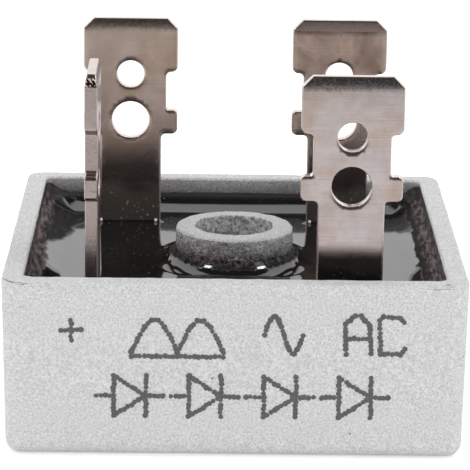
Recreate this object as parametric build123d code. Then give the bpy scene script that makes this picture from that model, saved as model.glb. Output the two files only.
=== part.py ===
"""Single-phase bridge rectifier in a square metal case, potted, with four push-on tabs.

Frame: X to the right of the printed face, Y away from it, Z up.
Origin: centre of the flat face that bolts to the heatsink.
"""
from build123d import *
import math
import os

# Case, a cast aluminium tray with a screw boss
case_side = 28.6
case_height = 11.15
wall_thickness = 1.32
floor_thickness = 2.4
outer_draft = 1.1
inner_draft = 0.8
corner_radius = 0.9
inner_corner_radius = 0.5
base_edge_radius = 0.88
rim_edge_chamfer = 0.13
boss_top_diameter = 7.56
boss_draft = 1.2
screw_hole_diameter = 5.1

# Potting, black epoxy that stops below the rim and creeps up what it wets
potting_depth_below_rim = 2.0
wall_meniscus_radius = 2.6
wall_meniscus_reach = 2.0
boss_meniscus_radius = 1.1
boss_meniscus_reach = 0.85
stem_meniscus_reach = 0.5
stem_meniscus_overlap = 0.1

# Insulator and the layer that bonds it to the floor
bond_thickness = 0.12
insulator_thickness = 0.635
insulator_wall_gap = 0.65
insulator_boss_gap = 0.4
insulator_corner_radius = 1.0

# Copper plates on the insulator
plate_thickness = 0.8
plate_edge_margin = 0.7
plate_split_gap = 1.4
plate_boss_gap = 0.8
plate_corner_radius = 0.8

# Diode dice and the solder above and below each
die_side = 4.2
die_thickness = 0.3
die_edge_margin = 0.1
solder_thickness = 0.1

# Copper straps that join a left die and a right die
strap_thickness = 0.6
strap_overhang = 0.15
strap_neck_width = 1.4
strap_corner_cut = 0.3

# Tabs, stamped from nickel-plated strip
tab_width = 6.35
tab_thickness = 0.8
tab_top_level = 23.05
tip_corner_cut = 0.67
tip_thickness = 0.58
tip_bevel_height = 0.72
head_length = 3.64
neck_width = 4.82
neck_length = 2.64
shoulder_length = 1.64
stem_width = 4.14
outer_corner_radius = 0.42
inner_corner_round = 0.3
small_hole_diameter = 1.84
small_hole_depth = 3.8
large_hole_diameter = 2.5
large_hole_depth = 6.95
foot_length = 2.5
foot_bend_radius = 0.3

# Where the tabs stand, from the outside of the case to the middle of each tab
tab_face_setback = 5.2
tab_side_setback = 7.25
positive_face_setback = 5.33
ac_front_side_setback = 7.16

# Levels worked out from the sizes above
cavity_depth = case_height - floor_thickness
tab_face_offset = case_side / 2 - tab_face_setback
tab_side_offset = case_side / 2 - tab_side_setback
positive_face_offset = case_side / 2 - positive_face_setback
ac_front_side_offset = case_side / 2 - ac_front_side_setback
inner_rim_half = case_side / 2 - wall_thickness
inner_floor_half = inner_rim_half - cavity_depth * math.tan(math.radians(inner_draft))
boss_floor_radius = boss_top_diameter / 2 + cavity_depth * math.tan(math.radians(boss_draft))
potting_level = case_height - potting_depth_below_rim
bond_level = floor_thickness
insulator_level = bond_level + bond_thickness
plate_level = insulator_level + insulator_thickness
plate_top = plate_level + plate_thickness
lower_solder_level = plate_top
die_level = lower_solder_level + solder_thickness
upper_solder_level = die_level + die_thickness
strap_level = upper_solder_level + solder_thickness
strap_top = strap_level + strap_thickness
insulator_half = inner_floor_half - insulator_wall_gap
plate_half = insulator_half - plate_edge_margin
plate_notch_radius = boss_floor_radius + plate_boss_gap
foot_bend_outer_radius = foot_bend_radius + tab_thickness

# Each die lies beside the gap between the plates, just clear of the notch round the boss
die_inner_near = plate_split_gap / 2 + die_edge_margin
die_inner_far = math.sqrt(plate_notch_radius ** 2 - die_inner_near ** 2) + die_edge_margin
die_near = die_inner_near + die_side / 2
die_far = die_inner_far + die_side / 2

# How far a strap reaches: towards the boss, to the tab's outer face, and past its die and its tab
strap_inner = plate_notch_radius
strap_outer = tab_face_offset + tab_thickness / 2 + strap_overhang
strap_die_end = die_inner_near + die_side + strap_overhang
strap_tab_end = tab_side_offset + stem_width / 2 + strap_overhang


def prism(sketch, level, height, taper=0.0):
    """Extrude a flat sketch upwards from a level. A negative taper widens it as it rises."""
    return extrude(Pos(0, 0, level) * sketch, amount=height, taper=taper)


def rounded_square(half, radius):
    return RectangleRounded(2 * half, 2 * half, radius)


def largest_solid(shape):
    return max(shape.solids(), key=lambda solid: solid.volume)


def screw_boss(height, level):
    """The conical boss from the floor of the tray up to a level."""
    narrowing = height * math.tan(math.radians(boss_draft))
    on_its_base = (Align.CENTER, Align.CENTER, Align.MIN)
    cone = Cone(boss_floor_radius, boss_floor_radius - narrowing, height, align=on_its_base)
    return Pos(0, 0, level) * cone


def tray_space(height):
    """What the tray holds from its floor up to a height, before the boss is taken away."""
    return prism(rounded_square(inner_floor_half, inner_corner_radius), floor_thickness, height, -inner_draft)


def case():
    base_half = case_side / 2 - case_height * math.tan(math.radians(outer_draft))
    body = prism(rounded_square(base_half, corner_radius), 0, case_height, -outer_draft)
    body = fillet(body.faces().sort_by(Axis.Z)[0].edges(), base_edge_radius)
    body = body - tray_space(cavity_depth) + screw_boss(cavity_depth, floor_thickness)
    body -= Cylinder(screw_hole_diameter / 2, 3 * case_height)
    top_faces = body.faces().filter_by(Axis.Z).group_by(Axis.Z)[-1]
    return largest_solid(chamfer(top_faces.edges(), rim_edge_chamfer))


def bonded_square(half, level, thickness):
    """A flat square with a clearance hole for the boss."""
    outline = rounded_square(half, insulator_corner_radius)
    outline -= Circle(boss_floor_radius + insulator_boss_gap)
    return largest_solid(prism(outline, level, thickness))


def current_plate(side):
    """The copper plate on one side: minus one is the positive plate, plus one the negative."""
    width = plate_half - plate_split_gap / 2
    centre = side * (plate_split_gap / 2 + width / 2)
    outline = Pos(centre, 0) * RectangleRounded(width, 2 * plate_half, plate_corner_radius)
    outline -= Circle(plate_notch_radius)
    return largest_solid(prism(outline, plate_level, plate_thickness))


def square_wafer(x, y, level, thickness):
    return largest_solid(prism(Pos(x, y) * Rectangle(die_side, die_side), level, thickness))


def die_places():
    """Centre of each die. The rear right one keeps clear of the foot of the negative tab."""
    return {"front_left": (-die_near, -die_far), "front_right": (die_near, -die_far),
            "rear_left": (-die_near, die_far), "rear_right": (die_far, die_near)}


def strap(corners):
    """A strap stamped to an outline, on top of the dice that it joins."""
    outline = make_face(Polyline(*corners, close=True))
    return largest_solid(prism(chamfer(outline.vertices(), strap_corner_cut), strap_level, strap_thickness))


def strap_front():
    """Lies over both front dice and reaches out under the front right tab."""
    return strap([(-strap_die_end, -strap_outer), (strap_tab_end, -strap_outer),
                  (strap_tab_end, -strap_inner), (-strap_die_end, -strap_inner)])


def strap_rear():
    """Carries the rear left tab and passes inside the negative tab, down to the rear right die."""
    neck_edge = strap_inner + strap_neck_width
    leg_outer = die_inner_far + die_side + strap_overhang
    leg_end = die_inner_near - strap_overhang
    return strap([(-strap_tab_end, strap_inner), (strap_inner, strap_inner), (strap_inner, leg_end),
                  (leg_outer, leg_end), (leg_outer, neck_edge), (-leg_end, neck_edge),
                  (-leg_end, strap_outer), (-strap_tab_end, strap_outer)])


def tab_front_outline(foot_level):
    """The stamped outline of a tab, seen on its flat face, from its foot up to its tip."""
    half_tab = tab_width / 2
    half_neck = neck_width / 2
    half_stem = stem_width / 2
    head_bottom = tab_top_level - head_length
    shoulder_top = head_bottom - neck_length
    shoulder_bottom = shoulder_top - shoulder_length
    right = [(half_stem, foot_level), (half_stem, shoulder_bottom), (half_tab, shoulder_bottom),
             (half_tab, shoulder_top), (half_neck, shoulder_top), (half_neck, head_bottom),
             (half_tab, head_bottom), (half_tab, tab_top_level - tip_corner_cut),
             (half_tab - tip_corner_cut, tab_top_level)]
    left = [(-x, z) for x, z in reversed(right)]
    outline = make_face(Polyline(*right, *left, close=True))
    outer_corners = ((half_tab, head_bottom), (half_tab, shoulder_bottom))
    outline = fillet(corners_at(outline, outer_corners), outer_corner_radius)
    inner_corners = ((half_tab, shoulder_top), (half_neck, shoulder_top), (half_neck, head_bottom),
                     (half_stem, shoulder_bottom))
    return fillet(corners_at(outline, inner_corners), inner_corner_round)


def corners_at(outline, places):
    """The corners of an outline that lie at one of the places, on either side."""
    return [v for v in outline.vertices()
            if any(abs(abs(v.X) - x) < 1e-6 and abs(v.Y - height) < 1e-6 for x, height in places)]


def tab_side_profile(foot_level, foot_direction):
    """The tab seen on its edge: a bevelled tip, a straight stem and a foot bent one way."""
    half = tab_thickness / 2
    foot_end = foot_direction * (foot_length - half)
    outer = -foot_direction * half
    inner = foot_direction * half
    foot_top = foot_level + tab_thickness
    bevel_level = tab_top_level - tip_bevel_height
    tip = foot_direction * tip_thickness / 2
    profile = make_face(Polyline((outer, foot_level), (foot_end, foot_level), (foot_end, foot_top),
                                 (inner, foot_top), (inner, bevel_level), (tip, tab_top_level),
                                 (-tip, tab_top_level), (outer, bevel_level), close=True))
    heel = [v for v in profile.vertices() if abs(v.X - outer) < 1e-6 and abs(v.Y - foot_level) < 1e-6]
    profile = fillet(heel, foot_bend_outer_radius)
    crook = [v for v in profile.vertices() if abs(v.X - inner) < 1e-6 and abs(v.Y - foot_top) < 1e-6]
    return fillet(crook, foot_bend_radius)


def tab_terminal(foot_level, foot_direction):
    """A whole terminal, standing at the origin with its flat faces towards plus and minus Y."""
    across = extrude(Plane.YZ * tab_side_profile(foot_level, foot_direction), amount=tab_width, both=True)
    through = extrude(Plane.XZ * tab_front_outline(foot_level), amount=2 * foot_length, both=True)
    blank = across & through
    holes = ((small_hole_diameter, small_hole_depth), (large_hole_diameter, large_hole_depth))
    for diameter, depth in holes:
        drill = Rot(90, 0, 0) * Cylinder(diameter / 2, 3 * tab_thickness)
        blank -= Pos(0, 0, tab_top_level - depth) * drill
    return largest_solid(blank)


def foot_solder(foot_level, foot_direction):
    """The solder under the flat of a foot, past the bend."""
    start = foot_bend_outer_radius - tab_thickness / 2
    length = foot_length - foot_bend_outer_radius
    pad = Pos(0, foot_direction * (start + length / 2)) * Rectangle(stem_width, length)
    return largest_solid(prism(pad, foot_level - solder_thickness, solder_thickness))


def tab_places():
    """Name, place, carrier level and bend direction of each terminal."""
    far = tab_face_offset
    near = tab_side_offset
    return [("terminal_positive", Pos(-positive_face_offset, -near, 0) * Rot(0, 0, 90), plate_top, 1),
            ("terminal_negative", Pos(near, far, 0), plate_top, 1),
            ("terminal_ac_front", Pos(ac_front_side_offset, -far, 0), strap_top, 1),
            ("terminal_ac_rear", Pos(-near, far, 0), strap_top, -1)]


def liquid_pocket():
    """The space above the epoxy: flat below, rounded up towards the walls, the boss and the stems."""
    wall_half = inner_floor_half + (potting_level - floor_thickness) * math.tan(math.radians(inner_draft))
    outer_half = wall_half + wall_meniscus_radius - wall_meniscus_reach
    boss_radius = boss_floor_radius - (potting_level - floor_thickness) * math.tan(math.radians(boss_draft))
    boss_core = boss_radius - (boss_meniscus_radius - boss_meniscus_reach)
    outline = Rectangle(2 * outer_half, 2 * outer_half) - Circle(boss_core)
    dry_stem = Rectangle(stem_width - 2 * stem_meniscus_overlap, tab_thickness - 2 * stem_meniscus_overlap)
    for _, place, _, _ in tab_places():
        outline -= place * dry_stem
    pocket = prism(outline, potting_level, 2 * wall_meniscus_radius)
    boss_edges = lowest_edges(pocket, lambda edge: not is_line(edge))
    pocket = fillet(boss_edges, boss_meniscus_radius)
    wall_edges = lowest_edges(pocket, lambda edge: is_line(edge) and edge.length > outer_half)
    pocket = fillet(wall_edges, wall_meniscus_radius)
    stem_edges = lowest_edges(pocket, lambda edge: is_line(edge) and edge.length < outer_half)
    return chamfer(stem_edges, stem_meniscus_reach + stem_meniscus_overlap)


def is_line(edge):
    return edge.geom_type == GeomType.LINE


def lowest_edges(solid, chosen):
    return solid.faces().sort_by(Axis.Z)[0].edges().filter_by(chosen)


def potting(embedded):
    """The epoxy, cut face to face by everything that it holds."""
    creep = wall_meniscus_radius - math.sqrt(wall_meniscus_radius ** 2 - wall_meniscus_reach ** 2)
    height = potting_level + creep - floor_thickness
    body = tray_space(height) - screw_boss(cavity_depth, floor_thickness)
    body -= liquid_pocket()
    for piece in embedded:
        body -= piece
    return largest_solid(body)


def build():
    parts = {"case": case()}
    parts["insulator_bond"] = bonded_square(insulator_half, bond_level, bond_thickness)
    parts["ceramic_insulator"] = bonded_square(insulator_half, insulator_level, insulator_thickness)
    parts["positive_plate"] = current_plate(-1)
    parts["negative_plate"] = current_plate(1)
    for name, (x, y) in die_places().items():
        parts["lower_solder_" + name] = square_wafer(x, y, lower_solder_level, solder_thickness)
        parts["diode_die_" + name] = square_wafer(x, y, die_level, die_thickness)
        parts["upper_solder_" + name] = square_wafer(x, y, upper_solder_level, solder_thickness)
    parts["ac_strap_front"] = strap_front()
    parts["ac_strap_rear"] = strap_rear()
    for name, place, carrier_level, foot_direction in tab_places():
        foot_level = carrier_level + solder_thickness
        parts[name] = place * tab_terminal(foot_level, foot_direction)
        parts["foot_solder" + name[len("terminal"):]] = place * foot_solder(foot_level, foot_direction)
    embedded = [piece for name, piece in parts.items() if name != "case"]
    parts["epoxy_potting"] = potting(embedded)
    return parts


os.makedirs("parts", exist_ok=True)
for node_name, node_shape in build().items():
    export_step(node_shape, os.path.join("parts", node_name + ".step"))
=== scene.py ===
"""Bridge rectifier in its square cast case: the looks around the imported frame.

Lengths are in millimetres, and the mesh code turns them into metres. The floor and the lamps
are given in metres.
X runs to the right of the printed face, Y away from it, Z up.
"""

import math
import random
from collections import namedtuple

import bpy
import numpy as np
from mathutils import Matrix, Vector, noise
from mathutils.geometry import delaunay_2d_cdt


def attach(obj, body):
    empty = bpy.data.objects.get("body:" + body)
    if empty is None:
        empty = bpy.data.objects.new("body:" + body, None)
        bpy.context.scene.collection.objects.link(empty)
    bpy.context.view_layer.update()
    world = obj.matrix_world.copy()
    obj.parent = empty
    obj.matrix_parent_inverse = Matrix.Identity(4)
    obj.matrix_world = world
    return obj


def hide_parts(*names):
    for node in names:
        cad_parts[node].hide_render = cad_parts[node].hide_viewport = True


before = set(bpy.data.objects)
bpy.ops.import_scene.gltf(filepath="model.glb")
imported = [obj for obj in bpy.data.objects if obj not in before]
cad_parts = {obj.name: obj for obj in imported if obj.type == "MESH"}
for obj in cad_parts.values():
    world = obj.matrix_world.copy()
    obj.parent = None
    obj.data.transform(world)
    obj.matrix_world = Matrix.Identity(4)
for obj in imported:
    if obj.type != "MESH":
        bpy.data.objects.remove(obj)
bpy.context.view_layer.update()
MM = 0.001

# Sizes of the solids that the pieces here stand for
CASE_SIDE = 28.6
CASE_HEIGHT = 11.15
WALL = 1.32
FLOOR_TOP = 2.4
OUTER_DRAFT = math.tan(math.radians(1.1))
INNER_DRAFT = math.tan(math.radians(0.8))
BOSS_DRAFT = math.tan(math.radians(1.2))
OUTER_CORNER = 0.9
INNER_CORNER = 0.5
BASE_EDGE = 0.88
RIM_EDGE = 0.17
HOLE_EDGE = 0.05
BOSS_TOP_RADIUS = 3.78
HOLE_RADIUS = 2.55
POTTING_LEVEL = 9.15
TAB_TOP = 23.05
TAB_THICKNESS = 0.8
STEM_HALF = 2.07

BASE_HALF = CASE_SIDE / 2 - CASE_HEIGHT * OUTER_DRAFT
CAVITY_DEPTH = CASE_HEIGHT - FLOOR_TOP
FLOOR_HALF = CASE_SIDE / 2 - WALL - CAVITY_DEPTH * INNER_DRAFT
BOSS_FLOOR_RADIUS = BOSS_TOP_RADIUS + CAVITY_DEPTH * BOSS_DRAFT

FOOT_ON_PLATE = 4.055
FOOT_ON_STRAP = 5.155

# Each tab: middle of its stem, turn about Z in degrees, level its foot stands on, bend direction,
# height of the tip bevel, and how much higher than the front ones it was set
Tab = namedtuple("Tab", "place turn foot_level direction bevel lift")
TABS = {
    "positive": Tab((-8.97, -7.05), 90, FOOT_ON_PLATE, 1, 0.72, 0.0),
    "negative": Tab((7.05, 9.1), 0, FOOT_ON_PLATE, 1, 0.72, 0.1),
    "ac_front": Tab((7.14, -9.1), 0, FOOT_ON_STRAP, 1, 0.72, 0.0),
    "ac_rear": Tab((-7.05, 9.1), 0, FOOT_ON_STRAP, -1, 0.55, 0.1),
}


# Mesh code

SHEET_WEIGHT = 1e4      # how much more a tab's flat sheet counts in its normals than its edges


def link_object(name, data):
    obj = bpy.data.objects.new(name, data)
    bpy.context.scene.collection.objects.link(obj)
    return obj


def mesh_object(name, points, faces, materials, face_slots=None, weights=None):
    mesh = bpy.data.meshes.new(name)
    mesh.from_pydata((np.asarray(points, float) * MM).tolist(), [], faces)
    for material in materials:
        mesh.materials.append(material)
    if face_slots is not None:
        mesh.polygons.foreach_set("material_index", np.asarray(face_slots, np.int32))
    mesh.polygons.foreach_set("use_smooth", np.ones(len(mesh.polygons), bool))
    mesh.update()
    normals = flat_first_normals(np.asarray(points, float), faces, weights)
    mesh.normals_split_custom_set_from_vertices(normals.tolist())
    return link_object(name, mesh)


def loft_faces(ring_count, size, closed):
    """Quads between successive rings of the same size. A closed loft joins the last ring to the first."""
    faces = []
    for r in range(ring_count if closed else ring_count - 1):
        a = r * size
        b = ((r + 1) % ring_count) * size
        faces += [(a + i, a + (i + 1) % size, b + (i + 1) % size, b + i) for i in range(size)]
    return faces


def flat_first_normals(points, faces, weights=None):
    """Normals at the points, in which large or weighty faces count most, so that flat faces shade flat."""
    total = np.zeros_like(points)
    sizes = np.array([len(face) for face in faces])
    weights = np.ones(len(faces)) if weights is None else np.asarray(weights, float)
    for size in sorted(set(sizes.tolist())):
        chosen = sizes == size
        group = np.array([face for face in faces if len(face) == size])
        start = points[group[:, 1]] if size == 4 else points[group[:, 0]]
        normal = np.cross(points[group[:, 2]] - points[group[:, 0]], points[group[:, -1]] - start)
        normal *= np.linalg.norm(normal, axis=1, keepdims=True) * weights[chosen][:, None]
        for corner in range(size):
            np.add.at(total, group[:, corner], normal)
    return total / np.maximum(np.linalg.norm(total, axis=1, keepdims=True), 1e-20)


def fractal(points, scale, octaves, seed):
    """Smooth noise between about minus one and one, at a scale of bumps per millimetre."""
    return np.array([noise.fractal(Vector(p) * scale + Vector((seed, seed, seed)), 0.8, 2.0, octaves)
                     for p in points])


# The case: rings of a rounded square outside, rings of a circle at the boss

CORNER_STEPS = 8
SIDE_STEPS = 112
RING = 4 * (CORNER_STEPS + SIDE_STEPS)

# Rings stand close together above these levels, where they can be seen
FINE_ABOVE = 8.9
HOLE_FINE_ABOVE = 8.2
HALFWAY = 6.0
HOLE_CHAMFER = 0.15
RELIEF_ABOVE = 0.3


def square_ring(half, radius):
    """Points of a rounded square, from the front right corner round to the front side."""
    centre = half - radius
    corners = [(1, -1), (1, 1), (-1, 1), (-1, -1)]
    arcs = []
    for k, (sx, sy) in enumerate(corners):
        angles = np.radians(-90 + 90 * k + np.linspace(0, 90, CORNER_STEPS + 1))
        arcs.append(np.stack([sx * centre + radius * np.cos(angles),
                              sy * centre + radius * np.sin(angles)], 1))
    points = []
    for k in range(4):
        start = arcs[k][-1]
        end = arcs[(k + 1) % 4][0]
        share = np.linspace(0, 1, SIDE_STEPS + 1)[1:-1, None]
        points += [arcs[k], start + share * (end - start)]
    return np.concatenate(points)


RING_ANGLES = np.arctan2(*square_ring(1.0, 0.05).T[::-1])


def circle_ring(radius):
    return np.stack([radius * np.cos(RING_ANGLES), radius * np.sin(RING_ANGLES)], 1)


def outer_ring(z, inset=0.0):
    return square_ring(BASE_HALF + z * OUTER_DRAFT - inset, max(OUTER_CORNER + z * OUTER_DRAFT - inset, 0.03))


def inner_ring(z, outset=0.0):
    rise = (z - FLOOR_TOP) * INNER_DRAFT
    return square_ring(FLOOR_HALF + rise + outset, INNER_CORNER + rise + outset)


def boss_radius(z):
    return BOSS_FLOOR_RADIUS - (z - FLOOR_TOP) * BOSS_DRAFT


def quarter(steps):
    return np.radians(np.linspace(0, 90, steps + 1))


def case_rings():
    """Rings of the case in order, each with its level and zone: outside, rim, inner wall, boss or hole."""
    rings = []
    for t in quarter(7):
        z = BASE_EDGE * (1 - math.cos(t))
        rings.append((outer_ring(z, BASE_EDGE * (1 - math.sin(t))), z, "outside"))
    for z in np.linspace(BASE_EDGE, CASE_HEIGHT - RIM_EDGE, 38)[1:]:
        rings.append((outer_ring(z), z, "outside"))
    for t in quarter(4)[1:]:
        z = CASE_HEIGHT - RIM_EDGE * (1 - math.sin(t))
        rings.append((outer_ring(z, RIM_EDGE * (1 - math.cos(t))), z, "rim"))
    outer_half = CASE_SIDE / 2 - RIM_EDGE
    inner_half = CASE_SIDE / 2 - WALL + RIM_EDGE
    for share in np.linspace(0, 1, 6)[1:]:
        half = outer_half + share * (inner_half - outer_half)
        corner = OUTER_CORNER + 0.05 + share * (INNER_CORNER + 0.25 - OUTER_CORNER - 0.05)
        rings.append((square_ring(half, corner), CASE_HEIGHT, "rim"))
    for t in quarter(4)[1:]:
        z = CASE_HEIGHT - RIM_EDGE * (1 - math.cos(t))
        rings.append((inner_ring(z, RIM_EDGE * (1 - math.sin(t))), z, "rim"))
    for z in np.concatenate([np.linspace(CASE_HEIGHT - RIM_EDGE, FINE_ABOVE, 20)[1:], [HALFWAY, FLOOR_TOP]]):
        rings.append((inner_ring(z), z, "inner"))
    for share in (0.35, 0.7):
        flat = inner_ring(FLOOR_TOP) * (1 - share) + circle_ring(BOSS_FLOOR_RADIUS) * share
        rings.append((flat, FLOOR_TOP, "inner"))
    for z in np.concatenate([[FLOOR_TOP, HALFWAY], np.linspace(FINE_ABOVE, CASE_HEIGHT - RIM_EDGE, 22)]):
        rings.append((circle_ring(boss_radius(z)), z, "boss"))
    for t in quarter(4)[1:]:
        z = CASE_HEIGHT - RIM_EDGE * (1 - math.sin(t))
        rings.append((circle_ring(BOSS_TOP_RADIUS - RIM_EDGE * (1 - math.cos(t))), z, "boss_top"))
    for radius in np.linspace(BOSS_TOP_RADIUS - RIM_EDGE, HOLE_RADIUS + HOLE_EDGE, 9)[1:]:
        rings.append((circle_ring(radius), CASE_HEIGHT, "boss_top"))
    for t in quarter(3)[1:]:
        z = CASE_HEIGHT - HOLE_EDGE * (1 - math.cos(t))
        rings.append((circle_ring(HOLE_RADIUS + HOLE_EDGE * (1 - math.sin(t))), z, "hole"))
    for z in np.concatenate([np.linspace(CASE_HEIGHT - HOLE_EDGE, HOLE_FINE_ABOVE, 24)[1:],
                             [HALFWAY, 4.0, 2.0, HOLE_CHAMFER]]):
        rings.append((circle_ring(HOLE_RADIUS), z, "hole"))
    rings.append((circle_ring(HOLE_RADIUS + HOLE_CHAMFER), 0.0, "hole"))
    return rings


# Depth of the cast relief in each zone, its bumps per millimetre and its octaves
CAST_RELIEF = {"outside": (0.012, 0.9, 4), "rim": (0.022, 0.8, 4), "inner": (0.025, 0.7, 2),
               "boss": (0.06, 1.7, 3), "boss_top": (0.03, 1.6, 3), "hole": (0.05, 2.0, 3)}
# Which material of the case each zone has: cast metal, inner wall, side of the boss or hole
ZONE_SLOT = {"outside": 0, "rim": 0, "inner": 1, "boss": 2, "boss_top": 0, "hole": 3}


def cast_case(materials):
    rings = case_rings()
    points = np.concatenate([np.column_stack([ring, np.full(RING, z)]) for ring, z, _ in rings])
    faces = loft_faces(len(rings), RING, closed=True)
    normals = flat_first_normals(points, faces)
    shift = np.zeros(len(points))
    for r, (_, z, zone) in enumerate(rings):
        if z < RELIEF_ABOVE:
            continue
        depth, scale, octaves = CAST_RELIEF[zone]
        part = slice(r * RING, (r + 1) * RING)
        shift[part] = depth * fractal(points[part], scale, octaves, seed=3.0)
    points += normals * shift[:, None]
    slots = [ZONE_SLOT[rings[(r + 1) % len(rings)][2]] for r in range(len(rings)) for _ in range(RING)]
    return mesh_object("cast_case", points, faces, materials, slots)


# The epoxy: a pour with its surface drawn up at the walls, the boss and the stems

CLIMB_START = 0.06      # the stretch over which a climb sets in
LEVEL_SLOPE = 0.03      # rise of the surface in a millimetre along Y
LEVEL_AT = 11.0         # where along Y it stands at the potting level
LOWEST_AT = -6.5        # in front of this it falls no further
WALL_REACH = 2.0
BOSS_REACH = 1.5
STEM_REACH = 0.2
WALL_RISE = 0.9         # above the potting level, where its outlines at the wall and boss are taken
BOSS_RISE = 0.5
WALL_OVERLAP = 0.02     # how far it reaches into the wall and the boss, so that no gap shows
BOSS_OVERLAP = 0.03
EDGE_CROWDING = 0.62    # how strongly its rings crowd towards the wall and the boss


def climb(distance, reach, slope, bow, curl):
    """How far the liquid has climbed at a distance from what it wets: a ramp that steepens."""
    run = np.log1p(np.exp(np.minimum((reach - distance) / CLIMB_START, 60))) * CLIMB_START
    return slope * run + bow * run ** 2 + curl * run ** 4


def box_distance(x, y, half_x, half_y, radius):
    qx = np.abs(x) - (half_x - radius)
    qy = np.abs(y) - (half_y - radius)
    outside = np.hypot(np.maximum(qx, 0), np.maximum(qy, 0))
    return outside + np.minimum(np.maximum(qx, qy), 0) - radius


def stem_distance(x, y, place, turn):
    c, s = math.cos(math.radians(turn)), math.sin(math.radians(turn))
    dx, dy = x - place[0], y - place[1]
    return box_distance(c * dx + s * dy, -s * dx + c * dy, STEM_HALF, TAB_THICKNESS / 2, 0.05)


def epoxy_surface(x, y):
    """The liquid set on a slight slope, higher at the back, with its edges drawn up."""
    half = FLOOR_HALF + (POTTING_LEVEL - FLOOR_TOP) * INNER_DRAFT
    boss = boss_radius(POTTING_LEVEL)
    flat = np.column_stack([x, y, np.zeros_like(x)])
    level = POTTING_LEVEL + LEVEL_SLOPE * (np.maximum(y, LOWEST_AT) - LEVEL_AT)
    drift = fractal(flat, 0.13, 2, seed=11.0)
    side = np.clip((np.abs(x) - np.abs(y)) / 3 + 0.5, 0, 1)
    from_wall = -box_distance(x, y, half, half, 1.6)
    wall = climb(from_wall, WALL_REACH + 0.08 * drift, slope=0.34, bow=0.1 * side, curl=0.012)
    from_boss = np.hypot(x, y) - boss
    boss_reach = BOSS_REACH + 0.1 * fractal(flat, 0.2, 2, seed=5.0)
    ring = climb(from_boss, boss_reach, slope=0.15, bow=0.12, curl=0.05)
    ring += 0.2 * np.exp(-np.maximum(from_boss, 0) / BOSS_REACH)
    stems = np.zeros_like(x)
    for tab in TABS.values():
        from_stem = stem_distance(x, y, tab.place, tab.turn)
        stems = np.maximum(stems, climb(from_stem, STEM_REACH, slope=0.35, bow=0.6, curl=0.0))
    waves = 0.005 * fractal(flat, 0.3, 2, seed=21.0)
    return level + wall + ring + stems + waves


def epoxy_pour(materials):
    outer = inner_ring(POTTING_LEVEL + WALL_RISE, WALL_OVERLAP)
    inner = circle_ring(boss_radius(POTTING_LEVEL + BOSS_RISE) - BOSS_OVERLAP)
    rings = []
    for step in np.linspace(0, 1, 121):
        share = step - EDGE_CROWDING * math.sin(2 * math.pi * step) / (2 * math.pi)
        flat = outer * (1 - share) + inner * share
        rings.append(np.column_stack([flat, epoxy_surface(flat[:, 0], flat[:, 1])]))
    low_inner = circle_ring(BOSS_FLOOR_RADIUS)
    low_outer = inner_ring(FLOOR_TOP)
    rings.append(np.column_stack([low_inner, np.full(RING, FLOOR_TOP)]))
    rings.append(np.column_stack([low_outer, np.full(RING, FLOOR_TOP)]))
    faces = loft_faces(len(rings), RING, closed=True)
    return mesh_object("epoxy_pour", np.concatenate(rings), faces, materials)


# The tabs: stamped flat with rounded edges, bevelled at the tip, then bent at the foot

EDGE_ROUND = 0.1
TIP_THICKNESS = 0.58
BEND_RADIUS = 0.3
FOOT_LENGTH = 2.5
SMALL_HOLE_RADIUS, SMALL_HOLE_DEPTH = 0.92, 3.8
LARGE_HOLE_RADIUS, LARGE_HOLE_DEPTH = 1.25, 6.95
HEAD_HALF = 3.175
NECK_HALF = 2.41
HEAD_LENGTH = 3.64
NECK_LENGTH = 2.64
SHOULDER_LENGTH = 1.64
CORNER_CUT = 0.67

# Corner radii of the blank: foot of the shoulder and the head, notch, neck, and cut corner
SHOULDER_ROUND = 0.42
NOTCH_ROUND = 0.3
NECK_ROUND = 0.2
CUT_ROUND = 0.1

ARC_STEPS = 6
OUTLINE_STEP = 0.22
GRID_X, GRID_Z = 0.31, 0.28
BEVEL_BLEND = 0.035
BEVEL_LINE_HALF = 3.06
FACE_SLOT, EDGE_SLOT, BEVEL_SLOT = 0, 1, 2


def round_corners(corners):
    """A closed line from corner points, each given with its radius, at close even steps."""
    line = []
    count = len(corners)
    for k, (x, z, radius) in enumerate(corners):
        here = Vector((x, z))
        before = Vector(corners[k - 1][:2]) - here
        after = Vector(corners[(k + 1) % count][:2]) - here
        half_angle = before.angle(after) / 2
        if radius == 0:
            line.append(here)
            continue
        run = radius / math.tan(half_angle)
        inward = (before.normalized() + after.normalized()).normalized()
        centre = here + inward * (radius / math.sin(half_angle))
        first = here + before.normalized() * run - centre
        last = here + after.normalized() * run - centre
        turn = first.angle_signed(last)
        for s in range(ARC_STEPS + 1):
            line.append(centre + Matrix.Rotation(-turn * s / ARC_STEPS, 2) @ first)
    return divide(line, OUTLINE_STEP)


def divide(line, step):
    out = []
    for k, point in enumerate(line):
        following = line[(k + 1) % len(line)]
        count = max(1, round((following - point).length / step))
        out += [point.lerp(following, s / count) for s in range(count)]
    return out


def tab_outline(flat_foot, top):
    """The flat blank, anticlockwise, from the lower right: stem, shoulder, neck, head and cut corners."""
    head_bottom = top - HEAD_LENGTH
    shoulder_top = head_bottom - NECK_LENGTH
    shoulder_bottom = shoulder_top - SHOULDER_LENGTH
    right = [(STEM_HALF, flat_foot, 0), (STEM_HALF, shoulder_bottom, NOTCH_ROUND),
             (HEAD_HALF, shoulder_bottom, SHOULDER_ROUND), (HEAD_HALF, shoulder_top, NOTCH_ROUND),
             (NECK_HALF, shoulder_top, NECK_ROUND), (NECK_HALF, head_bottom, NOTCH_ROUND),
             (HEAD_HALF, head_bottom, SHOULDER_ROUND), (HEAD_HALF, top - CORNER_CUT, CUT_ROUND),
             (HEAD_HALF - CORNER_CUT, top, CUT_ROUND)]
    left = [(-x, z, radius) for x, z, radius in reversed(right)]
    return round_corners(right + left)


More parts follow.
